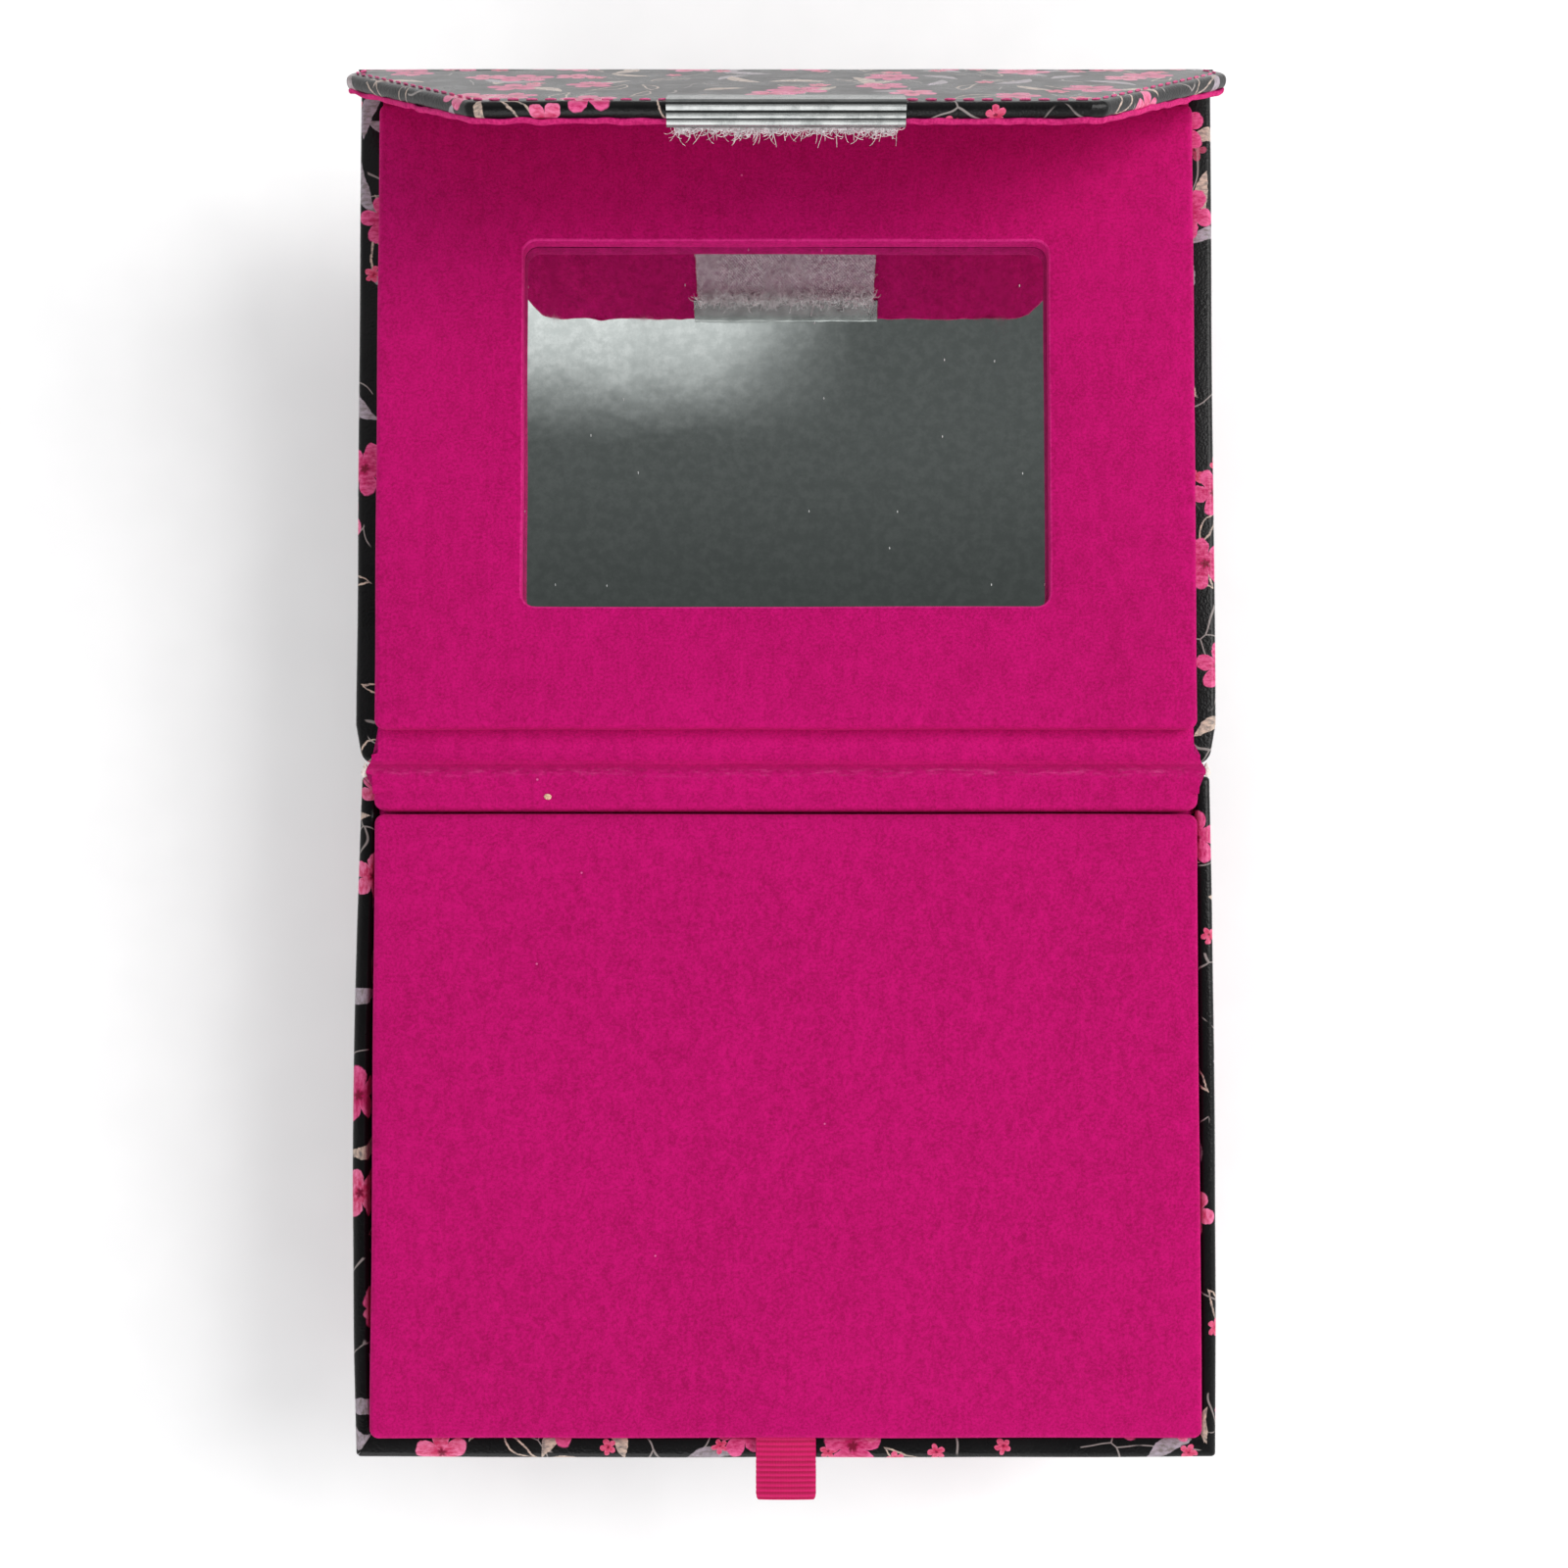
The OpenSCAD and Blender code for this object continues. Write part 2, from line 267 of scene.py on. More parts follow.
def make_velvet(name, dark, light, worn_line=None):
    """Short-pile velvet: a fine nap, brushed patches and a little lint."""
    p = Paint(name, Sheen_Weight=0.28, Sheen_Roughness=0.5, Sheen_Tint=rgb(255, 70, 160),
              Specular_IOR_Level=0.15, Roughness=0.92)
    place = p.place()
    nap = p.noise(place, 0.0006, 3, 0.7)
    tuft = p.noise(p.stretch(place, 1.0, 0.55, 1.0), 0.0021, 2, 0.6)
    brushed = p.noise(p.stretch(place, 1.0, 0.3, 1.0), 0.012, 3, 0.55)
    patch = p.noise(place, 0.05, 2)
    shade = p.scaled(nap, 0.92, p.scaled(tuft, 0.34, p.scaled(brushed, 0.1, p.times(patch, 0.12))))
    colour = p.mix(p.step(shade, 0.43, 0.99), dark, light)
    lint = p.cells(place, 0.0085, flat=False)
    some = p.step(p.split(lint.outputs["Color"])[0], 0.8, 0.82)
    speck = p.times(p.step(lint.outputs["Distance"], 0.034, 0.02), some)
    colour = p.mix(p.times(speck, 0.55), colour, rgb(236, 120, 178))
    if worn_line is not None:
        away = p.math("ABSOLUTE", p.math("SUBTRACT", p.split(p.sheet())[1], worn_line))
        fuzz = p.noise(p.stretch(place, 0.25, 1.0, 1.0), 0.0009, 4, 0.8)
        worn = p.times(p.step(away, 0.15, 0.0), p.step(fuzz, 0.46, 0.74))
        colour = p.mix(p.times(worn, 0.5), colour, rgb(228, 84, 156))
    normal = p.bump(nap, 0.00022, 0.6)
    normal = p.bump(tuft, 0.0003, 0.25, normal)
    return p.finish(colour, normal=normal)


def make_ribbon():
    p = Paint("ribbon", Sheen_Weight=0.06, Sheen_Roughness=0.3, Sheen_Tint=rgb(255, 40, 140),
              Specular_IOR_Level=0.22)
    sheet = p.sheet()
    threads = p.math("SINE", p.times(p.split(sheet)[0], 2 * pi / 0.032))
    tone = p.noise(p.stretch(sheet, 1.0, 6.0, 1.0), 0.12, 3)
    # Painted highlight: the rib crests are coloured lighter than the valleys
    unhighlit_valley = p.math("SINE", p.times(p.split(p.place())[1], 2 * pi / RIB_PITCH))
    unhighlit_valley = p.scaled(unhighlit_valley, 0.5, 0.5)
    colour = p.mix(tone, rgb(166, 0, 70), rgb(188, 0, 84))
    colour = p.mix(unhighlit_valley, rgb(222, 14, 108), colour)
    colour = p.mix(p.scaled(threads, 0.12, 0.12), colour, rgb(150, 0, 62))
    return p.finish(colour, p.scaled(tone, 0.2, 0.38), p.bump(threads, 0.00006, 0.5))


def make_mirror():
    p = Paint("mirror_glass", Metallic=1.0)
    place = p.place()
    smear = p.noise(p.stretch(place, 1.0, 0.22, 1.0), 0.007, 4, 0.65)
    dust = p.cells(p.stretch(place, 1.0, 0.4, 1.0), 0.0032)
    some = p.step(p.split(dust.outputs["Color"])[1], 0.9, 0.92)
    speck = p.times(p.step(dust.outputs["Distance"], 0.05, 0.025), some)
    mottle = p.noise(place, 0.0022, 4, 0.7)
    rough = p.scaled(p.step(smear, 0.45, 0.8), 0.07, 0.02)
    rough = p.math("MAXIMUM", rough, p.times(speck, 0.45))
    colour = p.mix(p.times(p.step(smear, 0.4, 0.85), 0.4), rgb(228, 232, 230), rgb(196, 204, 202))
    colour = p.mix(p.step(mottle, 0.35, 0.7), rgb(206, 211, 209), colour)
    colour = p.mix(p.times(speck, 0.45), colour, rgb(255, 255, 255))
    normal = p.bump(p.noise(place, 0.0075, 2), 0.00004, 0.35)
    return p.finish(colour, rough, normal)


def make_clip_metal():
    p = Paint("clip_metal", Metallic=1.0)
    place = p.place()
    line = p.noise(p.stretch(place, 0.02, 1.0, 1.0), 0.00022, 3, 0.7)
    stain = p.noise(place, 0.004, 4, 0.6)
    colour = p.mix(p.step(stain, 0.4, 0.8), rgb(142, 144, 143), rgb(112, 115, 114))
    rough = p.scaled(line, 0.18, p.scaled(stain, 0.14, 0.05))
    return p.finish(colour, rough, p.bump(line, 0.00003, 0.35))


def make_tape(name, light, dark):
    """The woven ground of hook-and-loop tape."""
    p = Paint(name, Sheen_Weight=0.3, Sheen_Roughness=0.4, Specular_IOR_Level=0.3, Roughness=0.8)
    place = p.place()
    threads = [p.math("SINE", p.times(across, WEAVE)) for across in p.split(place)]
    weave = p.times(threads[0], threads[2])
    tone = p.noise(place, 0.0012, 4, 0.7)
    colour = p.mix(p.step(tone, 0.3, 0.75), dark, light)
    return p.finish(colour, normal=p.bump(p.math("ADD", weave, tone), 0.00015, 0.6))


def make_plain(name, dark, light, size, rough, grain=0.0001, sheen=0.0):
    """Paper, board, foam or thread: a mottled colour over a fine grain."""
    p = Paint(name, Specular_IOR_Level=0.3, Sheen_Weight=sheen)
    place = p.place()
    fine = p.noise(place, size, 4, 0.7)
    wide = p.noise(place, size * 22, 3)
    shade = p.scaled(wide, 0.3, p.times(fine, 0.7))
    colour = p.mix(p.step(shade, 0.35, 0.65), dark, light)
    return p.finish(colour, p.scaled(fine, 0.2, rough), p.bump(fine, grain, 0.5))


LIT, DEEP = rgb(195, 8, 110), rgb(150, 0, 76)
print_cover = make_print_cover()
velvet = make_velvet("velvet", DEEP, LIT)
hinge_velvet = make_velvet("hinge_velvet", DEEP, LIT, worn_line=0.45)
# A lighter copy of the velvet: a painted highlight for the flap lining's cut edge
edge_highlight_velvet = make_velvet("edge_highlight_velvet", rgb(160, 8, 82), rgb(212, 50, 124))
# A lighter copy of the velvet: painted light, so the hinge lining on the lid looks lit
strip_lit_velvet = make_velvet("strip_lit_velvet", rgb(166, 4, 90), rgb(214, 18, 126))
# A lighter copy of the velvet: a painted highlight for the mirror window's rim
rim_highlight_velvet = make_velvet("rim_highlight_velvet", rgb(176, 14, 98), rgb(208, 44, 128))
ribbon_cloth = make_ribbon()
mirror_face = make_mirror()
clip_metal = make_clip_metal()
loop_ground = make_tape("loop_tape", rgb(226, 212, 220), rgb(168, 140, 156))
hook_ground = make_tape("hook_tape", rgb(222, 218, 220), rgb(176, 170, 174))
fibre = make_plain("tape_fibre", rgb(250, 244, 247), rgb(255, 254, 254), 0.0006, 0.4, sheen=0.6)
thread = make_plain("stitch_thread", rgb(208, 62, 122), rgb(234, 116, 164), 0.0005, 0.5)
foam = make_plain("foam", rgb(120, 4, 66), rgb(176, 14, 100), 0.0009, 0.8, 0.0004)
greyboard = make_plain("greyboard", rgb(118, 110, 100), rgb(150, 142, 130), 0.0007, 0.75)
black_paper = make_plain("black_paper", rgb(30, 30, 31), rgb(46, 46, 47), 0.0006, 0.6)
lining_paper = make_plain("inner_lid_paper", rgb(132, 8, 72), rgb(148, 14, 82), 0.0008, 0.65)
bald_backing = make_plain("bald_backing", rgb(196, 150, 120), rgb(236, 206, 176), 0.0004, 0.8)
worn_paper = make_plain("worn_paper", rgb(206, 190, 182), rgb(244, 238, 232), 0.0005, 0.75)


# ---- mesh tools

def mesh_of(name, points, faces, uvs=None):
    """A mesh; uvs gives each face's corners their place on the print sheet, in print units."""
    mesh = bpy.data.meshes.new(name)
    mesh.from_pydata([tuple(p) for p in points], [], faces)
    if uvs:
        layer = mesh.uv_layers.new(name="sheet")
        flat = [c for face in uvs for corner in face for c in corner]
        layer.data.foreach_set("uv", flat)
    mesh.validate()
    mesh.shade_smooth()
    mesh.set_sharp_from_angle(angle=math.radians(50))
    return mesh


def put_in_scene(name, data):
    obj = bpy.data.objects.new(name, data)
    scene.collection.objects.link(obj)
    return obj


def add_piece(name, mesh, material, body=None, replaces=(), slot=None, at=None):
    """A piece of the visual model; at moves its mesh from where it was drawn into the row frame."""
    obj = put_in_scene(name, mesh)
    if at is not None:
        mesh.transform(at)
    mesh.materials.append(material)
    if body:
        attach(obj, body)
    if replaces:
        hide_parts(*([replaces] if isinstance(replaces, str) else replaces))
    slot or material.name.split(".")[0]
    return obj


def join_meshes(name, parts):
    """One mesh from (points, faces) parts."""
    points, faces = [], []
    for part_points, part_faces in parts:
        start = len(points)
        points += part_points
        faces += [tuple(i + start for i in face) for face in part_faces]
    return mesh_of(name, points, faces)


def ruffle(mesh, amount, size, seed=0.0):
    """Moves each point a little, as hand-wrapped cloth is never quite straight."""
    for v in mesh.vertices:
        v.co += noise.noise_vector(v.co / size + Vector((seed, seed, seed))) * amount


def skin(rings, closed=True):
    """Faces between rings of points with the same count."""
    count = len(rings[0])
    points = [p for ring in rings for p in ring]
    last = count if closed else count - 1
    faces = [(k * count + j, k * count + (j + 1) % count,
              (k + 1) * count + (j + 1) % count, (k + 1) * count + j)
             for k in range(len(rings) - 1) for j in range(last)]
    return points, faces


def capped(rings):
    """(points, faces) of a closed skin round rings, with a face over each end."""
    points, faces = skin(rings)
    count = len(rings[0])
    faces += [tuple(reversed(range(count))), tuple(range(len(points) - count, len(points)))]
    return points, faces


def circle(steps):
    """Angles round a whole turn."""
    return [2 * pi * k / steps for k in range(steps)]


def quarter(steps, first=0):
    """Angles over a quarter turn."""
    return [pi / 2 * k / steps for k in range(first, steps + 1)]


def moved_in(corners, inset):
    """(the corners of a counter-clockwise polygon moved inwards by inset, the lengths of its old sides)"""
    count = len(corners)
    lines = []
    for i in range(count):
        a, b = Vector(corners[i]), Vector(corners[(i + 1) % count])
        along = (b - a).normalized()
        lines.append((a + Vector((-along.y, along.x)) * inset, along, (b - a).length))
    sharp = []
    for i in range(count):
        (a, da, _), (b, db, _) = lines[i - 1], lines[i]
        t = (b - a).cross(db) / da.cross(db)
        sharp.append(a + da * t)
    return sharp, [length for _, _, length in lines]


def outline(corners, inset, radius, spacing, arcs=6):
    """A counter-clockwise polygon, moved inwards by inset, with round corners and points along its sides."""
    count = len(corners)
    sharp, lengths = moved_in(corners, inset)
    r = max(radius - inset, 0.00004)
    rounds = []
    for i in range(count):
        to_before = (sharp[i - 1] - sharp[i]).normalized()
        to_after = (sharp[(i + 1) % count] - sharp[i]).normalized()
        half = to_before.angle(to_after) / 2
        centre = sharp[i] + (to_before + to_after).normalized() * (r / sin(half))
        start = sharp[i] + to_before * (r / math.tan(half)) - centre
        turn = pi - 2 * half
        arc = []
        for k in range(arcs + 1):
            a = turn * k / arcs
            arc.append(centre + Vector((start.x * cos(a) - start.y * sin(a),
                                        start.x * sin(a) + start.y * cos(a))))
        rounds.append(arc)
    points = []
    for i in range(count):
        points += rounds[i]
        steps = max(1, round(lengths[i] / spacing))
        a, b = rounds[i][-1], rounds[(i + 1) % count][0]
        points += [a.lerp(b, k / steps) for k in range(1, steps)]
    return points


def edge_profile(edge, steps=5):
    """(inset, drop, distance out from the flat face) down a rounded edge of that radius."""
    return [(edge * (1 - sin(a)), edge * (1 - cos(a)), edge * a) for a in quarter(steps)]


def slab(name, corners, low, high, radius, edge, under_edge=None, crown=0.0, spacing=0.006, sheet=None,
         insets=(0.009, 0.005, 0.0025)):
    """A plate of wrapped board. Its upper face and sides unroll onto the print sheet, moved by sheet."""
    under_edge = edge if under_edge is None else under_edge
    xs, ys = [c[0] for c in corners], [c[1] for c in corners]
    room = min(max(xs) - min(xs), max(ys) - min(ys)) / 2
    insets = [inset for inset in insets if edge + inset < 0.8 * room]
    rows = []  # (inset, height, place on the sheet as an inset)
    for inset in insets:
        rows.append((edge + inset, high + crown * inset / insets[0], edge + inset))
    for inset, drop, out in edge_profile(edge):
        rows.append((inset, high - drop, edge - out))
    wall = high - low - edge - under_edge
    spread = edge - edge * pi / 2
    for inset, drop, out in reversed(edge_profile(under_edge)):
        around = under_edge * pi / 2 - out
        rows.append((inset, low + drop, spread - wall - around))
    rings = [[Vector((p.x, p.y, z)) for p in outline(corners, inset, radius, spacing)]
             for inset, z, _ in reversed(rows)]
    points, faces = skin(rings)
    count = len(rings[0])
    top = tuple(range(len(points) - count, len(points)))
    bottom = tuple(reversed(range(count)))
    faces += [top, bottom]
    uvs = None
    if sheet is not None:
        flats = [outline(corners, place, radius, spacing) for _, _, place in reversed(rows)]
        flat = [(p + Vector(sheet)) / PRINT_UNIT for ring in flats for p in ring]
        uvs = [[flat[i] for i in face] for face in faces[:-1]]
        uvs.append([((sheet[0] - points[i].x) / PRINT_UNIT, (sheet[1] + points[i].y + 0.4) / PRINT_UNIT)
                    for i in faces[-1]])
    return mesh_of(name, points, faces, uvs)


def rectangle(low, high):
    return [(low.x, low.y), (high.x, low.y), (high.x, high.y), (low.x, high.y)]


def upright(mesh, turn, low):
    """Stands a slab up: its thickness then runs along X (turn "Y") or along Y (turn "X")."""
    mesh.transform(Matrix.Rotation(pi / 2, 4, turn))
    corner = Vector([min(v.co[i] for v in mesh.vertices) for i in range(3)])
    mesh.transform(Matrix.Translation(low - corner))


def board_piece(node, body, edge, material=None, radius=0.0012, slot="velvet"):
    """A velvet-wrapped board in the place of a box-shaped CAD node, rounded at its long edges."""
    low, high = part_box(node)
    size = high - low
    thin = min(range(3), key=lambda i: size[i])
    if thin == 2:
        mesh = slab(node, rectangle(low, high), low.z, high.z, radius, edge)
    else:
        across = size.y if thin == 0 else size.x
        corners = [(0, 0), (size.z, 0), (size.z, across), (0, across)] if thin == 0 else \
            [(0, 0), (across, 0), (across, size.z), (0, size.z)]
        mesh = slab(node, corners, 0, size[thin], radius, edge)
        upright(mesh, "Y" if thin == 0 else "X", low)
    ruffle(mesh, 0.00012, 0.02, low.x * 50)
    return add_piece(node + "_" + slot, mesh, material or velvet, body, node, slot)


def strip(name, path, half_widths, thickness, columns=36, sheet=(0, 0), wave=0.0):
    """A band of cloth across X that follows path, a list of (y, z), with its thickness to both sides."""
    count = len(path)
    places = [Vector((0, y, z)) for y, z in path]
    away = [0.0]
    for a, b in zip(places, places[1:]):
        away.append(away[-1] + (b - a).length)
    rings, flats = [], []
    for i in range(columns + 1):
        f = 2 * i / columns - 1
        front, back = [], []
        for k in range(count):
            along = (places[min(k + 1, count - 1)] - places[max(k - 1, 0)]).normalized()
            normal = Vector((0, -along.z, along.y))
            centre = places[k] + Vector((f * half_widths[k], 0, 0))
            centre += normal * wave * noise.noise(Vector((f * 6, away[k] * 120, sheet[0])))
            front.append(centre + normal * thickness / 2)
            back.append(centre - normal * thickness / 2)
        rings.append(front + back[::-1])
        flat = [((sheet[0] + f * half_widths[k]) / PRINT_UNIT, (sheet[1] + away[k]) / PRINT_UNIT)
                for k in range(count)]
        flats.append(flat + flat[::-1])
    points, faces = capped(rings)
    places_on_sheet = [c for flat in flats for c in flat]
    uvs = [[places_on_sheet[i] for i in face] for face in faces]
    return mesh_of(name, points, faces, uvs)


def cloth(name, path, half_widths, thickness, material, replaces=(), slot=None, **shape):
    """A strip as a piece that is still to be given its body. One number makes it as wide all along."""
    if isinstance(half_widths, float):
        half_widths = [half_widths] * len(path)
    mesh = strip(name, path, half_widths, thickness, **shape)
    return add_piece(name, mesh, material, replaces=replaces, slot=slot)


def round_path(corners, radius, steps=5):
    """(y, z) corners with each inner corner rounded."""
    path = [corners[0]]
    for a, b, c in zip(corners, corners[1:], corners[2:]):
        a, b, c = Vector(a), Vector(b), Vector(c)
        reach = min(radius, (a - b).length / 2, (c - b).length / 2)
        start, end = b + (a - b).normalized() * reach, b + (c - b).normalized() * reach
        for t in (k / steps for k in range(steps + 1)):
            path.append(tuple(start.lerp(b, t).lerp(b.lerp(end, t), t)))
    return path + [corners[-1]]


def tube(path, radius, sides=5):
    """(points, faces) of a thin thread with closed ends along a list of points."""
    rings = []
    for k, centre in enumerate(path):
        along = (path[min(k + 1, len(path) - 1)] - path[max(k - 1, 0)]).normalized()
        u = along.orthogonal().normalized()
        v = along.cross(u)
        r = radius * (0.55 if k in (0, len(path) - 1) else 1)
        rings.append([centre + (u * cos(a) + v * sin(a)) * r for a in circle(sides)])
    return capped(rings)


# ---- base

def cover_wall(name, node, start, end, inner, outward, thickness, bow, begin):
    """The printed cover of one wall, with half of each corner. start and end are the outer corners."""
    low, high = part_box(node)
    corner_r, rim_out, rim_in = 0.9 * MM, 1.3 * MM, 0.9 * MM
    along = (end - start).normalized()
    length = (end - start).length
    stations = [(corner_r * (1 + sin(a)), corner_r * (1 - cos(a)))
                for a in (pi / 4 * (k / 3 - 1) for k in range(4))]
    stations += [(corner_r + (length - 2 * corner_r) * k / 30, 0.0) for k in range(1, 30)]
    stations += [(length - s, d) for s, d in reversed(stations[:4])]
    profile = [(thickness, low.z + 3 * MM), (thickness, high.z - rim_in)]
    profile += [(thickness - rim_in * (1 - cos(a)), high.z - rim_in * (1 - sin(a)))
                for a in quarter(4, 1)]
    profile += [(inset, high.z - drop) for inset, drop, _ in edge_profile(rim_out)]
    profile += [(0.0, low.z + (high.z - low.z) * f) for f in (0.85, 0.65, 0.45, 0.25, 0.1)]
    profile += [(0.0, low.z + 0.4 * MM), (0.4 * MM, low.z)]
    rings, flats = [], []
    for s, sunk in stations:
        outer = start + along * s - outward * sunk
        clamped = Vector((min(max(outer.x, inner[0]), inner[2]), min(max(outer.y, inner[1]), inner[3])))
        middle = 1 - (2 * s / length - 1) ** 2
        ring, flat, run = [], [], 0.0
        for i, (depth, z) in enumerate(profile):
            if i:
                run += math.dist(profile[i - 1], (depth, z))
            flat.append(((begin + s) / PRINT_UNIT, run / PRINT_UNIT))
            place = outer.lerp(clamped, depth / thickness)
            swell = bow * middle * (1 + 0.35 * sin(pi * (z - low.z) / (high.z - low.z)))
            place = place + outward * swell
            ring.append(Vector((place.x, place.y, z)))
        rings.append(ring)
        flats.append(flat)
    points, faces = skin(rings, closed=False)
    on_sheet = [c for flat in flats for c in flat]
    mesh = mesh_of(name, points, faces, [[on_sheet[i] for i in face] for face in faces])
    ruffle(mesh, 0.00018, 0.03, begin * 10)
    return add_piece(name, mesh, print_cover, "base", node)


front_low, front_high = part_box("front_wall")
back_low, back_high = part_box("back_wall")
left_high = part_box("left_wall")[1]
half_w, front_y, back_y = front_high.x, front_low.y, back_high.y
inside = (left_high.x, front_high.y, -left_high.x, back_low.y)
side_t, front_t = half_w + left_high.x, front_high.y - front_y
corner_points = [Vector(c) for c in rectangle(Vector((-half_w, front_y)), Vector((half_w, back_y)))]
perimeter = 0.0
for name, i, outward, thickness, bow in (
        ("front_wall", 0, (0, -1), front_t, 0.25), ("right_wall", 1, (1, 0), side_t, 0.5),
        ("back_wall", 2, (0, 1), side_t, 0.1), ("left_wall", 3, (-1, 0), side_t, 1.3)):
    start, end = corner_points[i], corner_points[(i + 1) % 4]
    cover_wall(name + "_cover", name, start, end, inside, Vector(outward), thickness, bow * MM, perimeter)
    perimeter += (end - start).length

for name, edge in (("front_liner", 0.6), ("left_liner", 0.6), ("right_liner", 0.6), ("rear_ledge", 0.6),
                   ("long_divider", 0.75), ("rear_left_divider", 0.75), ("rear_right_divider", 0.75),
                   ("front_divider", 0.75), ("floor_pad", 0.8)):
    board = board_piece(name, "base", edge * MM)
board_piece("ring_foam", "base", 0.8 * MM, foam, slot="foam")

# Ring rolls: round foam rolls with gathered ends
roll_low, roll_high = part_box("ring_rolls")
roll_r = (roll_high.z - roll_low.z) / 2
roll_count = 5
pitch = (roll_high.y - roll_low.y - 2 * roll_r) / (roll_count - 1)
rolls = []
for i in range(roll_count):
    centre_y = roll_low.y + roll_r + pitch * i
    rings = []
    ends = [(0.0, 0.35), (0.25 * MM, 0.62), (0.8 * MM, 0.84), (1.8 * MM, 0.96), (3.2 * MM, 1.0)]
    length = roll_high.x - roll_low.x
    spans = ends + [(length * f, 1.0) for f in (0.2, 0.35, 0.5, 0.65, 0.8)]
    spans += [(length - run, share) for run, share in reversed(ends)]
    for run, share in spans:
        ring = []
        for a in circle(28):
            gather = 1 - 0.07 * (1 - share) / 0.65 * (0.5 + 0.5 * cos(a * 14))
            r = roll_r * share * gather * (1 + 0.012 * noise.noise(Vector((run * 60, i * 3, cos(a)))))
            ring.append(Vector((roll_low.x + run, centre_y + r * cos(a),
                                roll_low.z + roll_r + r * sin(a))))
        rings.append(ring)
    rolls.append(capped(rings))
mesh = join_meshes("ring_rolls", rolls)
ring_rolls = add_piece("ring_rolls_velvet", mesh, velvet, "base", "ring_rolls", "velvet")

# The padded roll along the top of the back wall; its ends are drawn in
roll_low, roll_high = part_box("hinge_roll")
corners = rectangle(Vector((roll_low.y, roll_low.z)), Vector((roll_high.y - 0.2 * MM, roll_high.z)))
roll_profile = outline(corners, 0.0, 2 * MM, 1.5 * MM, 7)
middle = Vector(((roll_low.y + roll_high.y) / 2 + 1.2 * MM, roll_low.z + 1.5 * MM))
rings = []
half = roll_high.x - 0.3 * MM
stations = [s * MM for s in (0.0, 0.15, 0.5, 1.1, 2.0, 3.2)]
stations += [half * f for f in (0.08, 0.16, 0.26, 0.38, 0.5, 0.62, 0.74, 0.86, 1.0)]
stations = [s - half for s in stations] + [half - s for s in reversed(stations[:-1])]
for x in stations:
    near_end = min(1.0, (half - abs(x)) / (3.4 * MM))
    share = 0.62 + 0.38 * math.sqrt(max(0.0, 1 - (1 - near_end) ** 2))
    ring = []
    for p in roll_profile:
        q = middle + (p - middle) * share
        lift = 0.18 * MM * noise.noise(Vector((x * 45, q.x * 200, 3.0)))
        ring.append(Vector((x, q.x, q.y + lift)))
    rings.append(ring)
mesh = mesh_of("hinge_roll", *capped(rings))
hinge_roll = add_piece("hinge_roll_velvet", mesh, velvet, "base", "hinge_roll", "velvet")


# ---- hinge cloth

def along_strip(run, side=0.0):
    """The (y, z) place run metres down the spine strip from its lower crease, side metres off its middle."""
    place = crease_low + strip_dir * run + Vector((0, -strip_dir.z, strip_dir.y)) * side
    return (place.y, place.z)


strip_l = (crease_high - crease_low).length
lining_t, cover_t = 0.5 * MM, 0.4 * MM
over = lining_t / 2
narrow, wide = 86.4 * MM, 87.7 * MM
path = round_path([(roll_high.y - 4.2 * MM, roll_high.z - 0.35 * MM),
                   (roll_high.y - 2.6 * MM, roll_high.z + 0.05 * MM),
                   (crease_low.y - 0.1 * MM, crease_low.z + 0.1 * MM),
                   along_strip(strip_l * 0.56, over)], 1.1 * MM, 6)
half_widths = [wide if y > crease_low.y - 0.6 * MM else narrow for y, z in path]
spine_lining = cloth("spine_lining_base", path, half_widths, lining_t, hinge_velvet, "spine_lining", "velvet",
                     wave=0.12 * MM)
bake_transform(spine_lining)

pad_low, pad_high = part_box("lid_pad")
lid_low, lid_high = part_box("lid_board")
# The hinge lining on the lid, in the lighter velvet that paints it as lit
path = round_path([along_strip(strip_l * 0.5, over)]
                  + [(y, crease_high.z + over) for y in (crease_high.y + 0.2 * MM, crease_high.y + 3 * MM,
                                                         pad_low.y + 0.8 * MM)], 1.2 * MM, 6)
half_widths = [(wide if y < crease_high.y + 1.5 * MM else narrow) - 0.1 * MM for y, z in path]
lid_lining = cloth("spine_lining_lid", path, half_widths, lining_t, strip_lit_velvet, "lid_hinge_lining",
                   "velvet", wave=0.1 * MM)
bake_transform(lid_lining)

path = round_path([(back_y + 0.2 * MM, crease_low.z - 9 * MM), (back_y + 0.2 * MM, crease_low.z - 0.2 * MM),
                   along_strip(strip_l * 0.56, -cover_t / 2)], 0.5 * MM, 6)
spine_cover = cloth("spine_cover_base", path, 88.6 * MM, cover_t, print_cover, "spine_cover",
                    sheet=(0.31, 0.12), wave=0.1 * MM)
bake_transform(spine_cover)

path = round_path([along_strip(strip_l * 0.5, -cover_t / 2),
                   (crease_high.y - 0.15 * MM, crease_high.z - 0.3 * MM),
                   (crease_high.y - 0.15 * MM, lid_low.z + 1.2 * MM)], 0.6 * MM, 6)
lid_cover = cloth("spine_cover_lid", path, 88 * MM, cover_t, print_cover, sheet=(0.31, 0.125))
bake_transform(lid_cover)


# Pale paper showing where the cover has cracked at the ends of the fold, and a bald speck on the roll
def crumb(place, size, seed):
    """(points, faces) of a small uneven flake."""
    rings = []
    for k, (share, lift) in enumerate(((0.0, 1.0), (0.5, 0.92), (0.85, 0.6), (1.0, 0.0), (0.7, -0.5))):
        ring = []
        for a in circle(12):
            spread = Vector((size.x * share * cos(a), size.y * share * sin(a), size.z * lift))
            uneven = noise.noise_vector(Vector((a * 2, seed, k))) * size.x * 0.22 * share
            ring.append(place + spread + uneven)
        rings.append(ring)
    return skin(rings)


